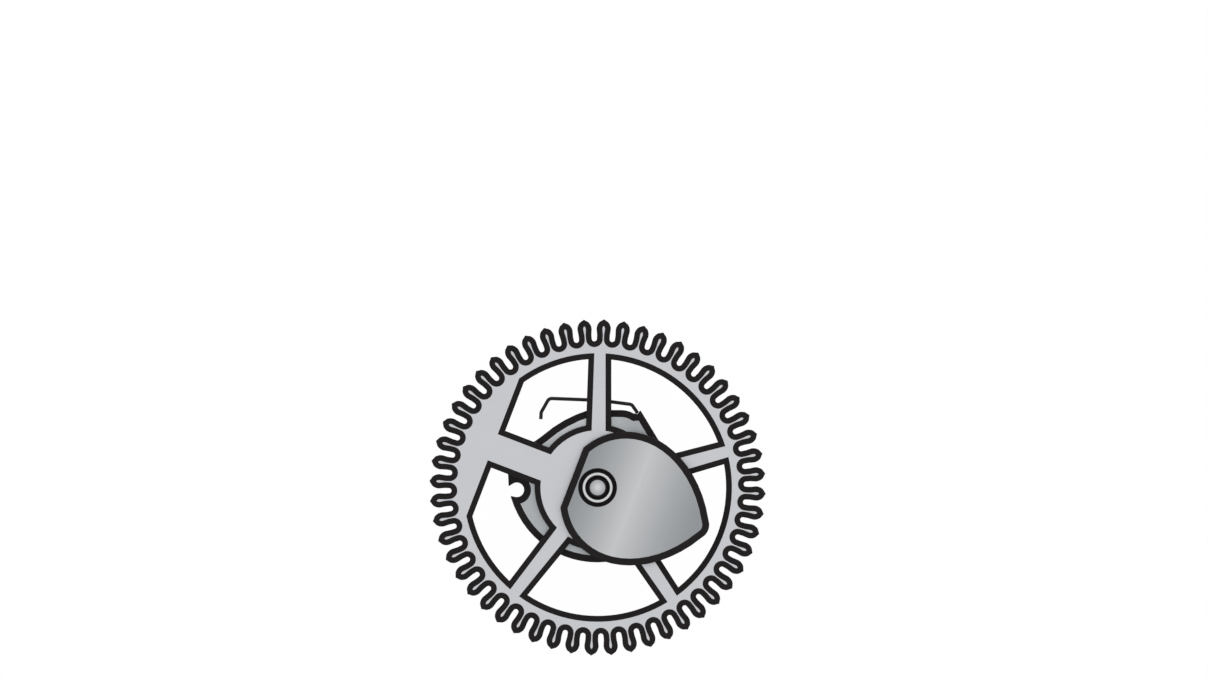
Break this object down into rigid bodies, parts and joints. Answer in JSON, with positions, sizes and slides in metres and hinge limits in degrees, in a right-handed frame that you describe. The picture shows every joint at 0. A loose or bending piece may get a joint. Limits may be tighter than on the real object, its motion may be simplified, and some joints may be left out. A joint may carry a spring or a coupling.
{
  "type": "chronograph wheel",
  "caption": "Toothed chronograph wheel on a long stepped staff, with a heart-shaped reset cam above and a sprung finger plate, collar and stop plate below.",
  "frame": {"origin": "on the staff's axis, at the shoulder where the lower journal steps down to the long shaft", "axes": "+Z up the staff towards the heart cam and the upper pivot; seen from +Z with +Y up, the finger points to -X and the wing to +X"},
  "size_m": [0.01, 0.01, 0.0079],
  "materials": {
    "polished_steel": "turned and polished",
    "bright_steel": "turned, fine satin end faces",
    "wheel_plate": "flat satin faces with darkened edges",
    "cam_steel": "straight satin brushing, darkened edges",
    "finger_steel": "satin faces with darkened edges",
    "collar_steel": "turned satin",
    "stop_steel": "grey satin",
    "stud_steel": "turned",
    "spring_steel": "blackened wire"
  },
  "bodies": {
    "runner": {"staff": "polished_steel", "hub_pipe": "bright_steel", "chronograph_wheel": "wheel_plate", "heart_cam": "cam_steel", "collar_disc": "collar_steel", "stop_plate": "stop_steel", "spring_stud": "stud_steel", "wire_spring": "spring_steel"},
    "finger": {"finger_plate": "finger_steel"}
  },
  "joints": [
    {"name": "finger_swing", "type": "hinge", "parent": "runner", "child": "finger", "pos_m": [0, 0, 0.00166], "axis": [0, 0, 1], "range_deg": [0, 6], "stiffness_Nm_per_rad": 0.000002, "springref_deg": -14.32, "deforming": ["wire_spring"]}
  ]
}
